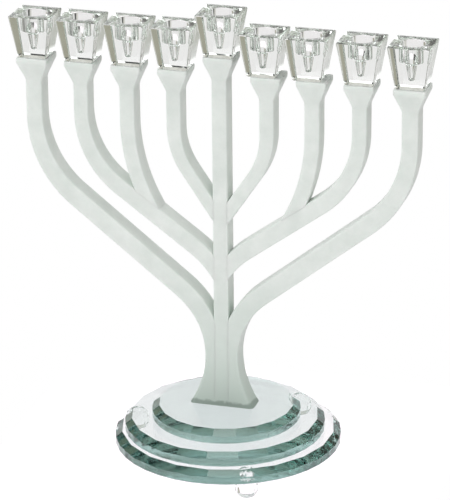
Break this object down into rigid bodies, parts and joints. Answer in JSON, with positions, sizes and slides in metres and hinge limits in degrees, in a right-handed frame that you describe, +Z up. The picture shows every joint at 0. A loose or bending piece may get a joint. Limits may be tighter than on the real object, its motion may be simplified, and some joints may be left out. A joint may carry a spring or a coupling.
{
  "type": "menorah",
  "caption": "Branched menorah of frosted glass bars with square crystal candle cups and a raised centre cup, on a stepped round base of bevelled clear glass discs with faceted ball feet.",
  "frame": {"origin": "the point on the ground under the stem; the bottom disc of the base is centred 2 mm to its right", "axes": "+Z up, +X along the row of cups to the viewer's right, +Y to the back"},
  "size_m": [0.26, 0.14, 0.2894],
  "materials": {
    "cup_crystal": "clear polished crystal with ground edges",
    "frosted_glass": "acid-frosted pale green-white glass, matt and milky",
    "base_glass": "clear polished glass with green edges and a flat-faceted bevel",
    "foot_crystal": "clear faceted crystal"
  },
  "bodies": {
    "root": {"base_disc_bottom": "base_glass", "base_disc_middle": "base_glass", "base_disc_top": "base_glass", "foot_left": "foot_crystal", "foot_front_right": "foot_crystal", "foot_back_right": "foot_crystal", "stem": "frosted_glass", "arm_left_1": "frosted_glass", "arm_left_2": "frosted_glass", "arm_left_3": "frosted_glass", "arm_left_4": "frosted_glass", "arm_right_1": "frosted_glass", "arm_right_2": "frosted_glass", "arm_right_3": "frosted_glass", "arm_right_4": "frosted_glass", "cup_center": "cup_crystal", "cup_left_1": "cup_crystal", "cup_left_2": "cup_crystal", "cup_left_3": "cup_crystal", "cup_left_4": "cup_crystal", "cup_right_1": "cup_crystal", "cup_right_2": "cup_crystal", "cup_right_3": "cup_crystal", "cup_right_4": "cup_crystal"}
  },
  "joints": []
}
